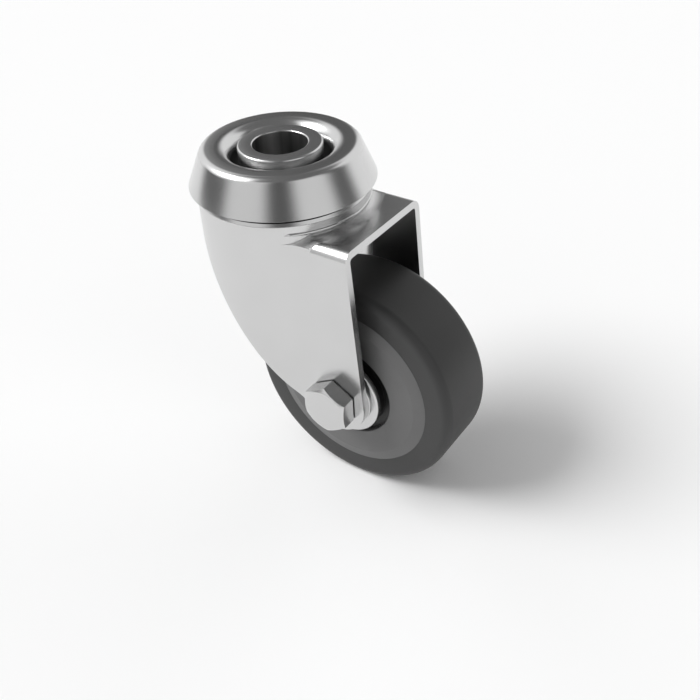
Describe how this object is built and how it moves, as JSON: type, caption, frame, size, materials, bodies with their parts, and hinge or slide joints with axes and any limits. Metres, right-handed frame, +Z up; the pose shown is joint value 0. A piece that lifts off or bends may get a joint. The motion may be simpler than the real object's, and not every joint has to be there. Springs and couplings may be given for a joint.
{
  "type": "swivel caster",
  "caption": "Swivel caster with a single bolt hole through its hollow pin, a round pressed head over ball races, a pressed steel fork and a rubber-tyred wheel.",
  "frame": {"origin": "centre of the bolt hole at the top face of the hollow pin", "axes": "+Z up the swivel axis and out of the bolt hole, +X towards the side the wheel trails to, +Y along the axle towards the lock nut"},
  "size_m": [0.0636, 0.0397, 0.0747],
  "materials": {
    "pin_steel": "bright zinc plated, turned",
    "cap_steel": "bright zinc plated, pressed",
    "ring_steel": "bright zinc plated, turned",
    "fork_steel": "bright zinc plated, pressed sheet",
    "cup_steel": "bright zinc plated, pressed",
    "ball_steel": "polished",
    "bolt_steel": "bright zinc plated",
    "bearing_steel": "ground",
    "outer_ring_steel": "oiled, dark",
    "cage_plastic": "moulded",
    "seal_rubber": "matt",
    "insert_plastic": "moulded",
    "rim_plastic": "moulded, grey",
    "tyre_rubber": "matt, dark grey"
  },
  "bodies": {
    "head": {"hollow_pin": "pin_steel", "head_cap": "cap_steel", "lower_race_cup": "cup_steel"},
    "upper_ball_row": {"upper_balls": "ball_steel"},
    "lower_ball_row": {"lower_balls": "ball_steel"},
    "swivel_fork": {"fork": "fork_steel", "upper_race_ring": "ring_steel", "axle_bolt": "bolt_steel", "lock_nut": "bolt_steel", "nut_insert": "insert_plastic", "axle_tube": "bearing_steel", "inner_spacer": "bearing_steel", "near_collar": "bolt_steel", "far_collar": "bolt_steel", "near_bearing_inner_ring": "bearing_steel", "far_bearing_inner_ring": "bearing_steel"},
    "wheel": {"rim": "rim_plastic", "tyre": "tyre_rubber", "near_bearing_outer_ring": "outer_ring_steel", "far_bearing_outer_ring": "outer_ring_steel", "near_bearing_seals": "seal_rubber", "far_bearing_seals": "seal_rubber"},
    "near_bearing_cage_body": {"near_bearing_balls": "ball_steel", "near_bearing_cage": "cage_plastic"},
    "far_bearing_cage_body": {"far_bearing_balls": "ball_steel", "far_bearing_cage": "cage_plastic"}
  },
  "joints": [
    {"name": "swivel", "type": "hinge", "parent": "head", "child": "swivel_fork", "pos_m": [0, 0, 0], "axis": [0, 0, 1], "continuous": true},
    {"name": "upper_balls_orbit", "type": "hinge", "parent": "head", "child": "upper_ball_row", "pos_m": [0, 0, 0], "axis": [0, 0, 1], "continuous": true},
    {"name": "lower_balls_orbit", "type": "hinge", "parent": "head", "child": "lower_ball_row", "pos_m": [0, 0, 0], "axis": [0, 0, 1], "continuous": true},
    {"name": "wheel_spin", "type": "hinge", "parent": "swivel_fork", "child": "wheel", "pos_m": [0.0194, 0, -0.0497], "axis": [0, 1, 0], "continuous": true},
    {"name": "near_cage_spin", "type": "hinge", "parent": "swivel_fork", "child": "near_bearing_cage_body", "pos_m": [0.0194, 0, -0.0497], "axis": [0, 1, 0], "continuous": true},
    {"name": "far_cage_spin", "type": "hinge", "parent": "swivel_fork", "child": "far_bearing_cage_body", "pos_m": [0.0194, 0, -0.0497], "axis": [0, 1, 0], "continuous": true}
  ],
  "couplings": [
    {"joint": "upper_balls_orbit", "follows": "swivel", "ratio": 0.5},
    {"joint": "lower_balls_orbit", "follows": "swivel", "ratio": 0.5},
    {"joint": "near_cage_spin", "follows": "wheel_spin", "ratio": 0.632},
    {"joint": "far_cage_spin", "follows": "wheel_spin", "ratio": 0.632}
  ]
}
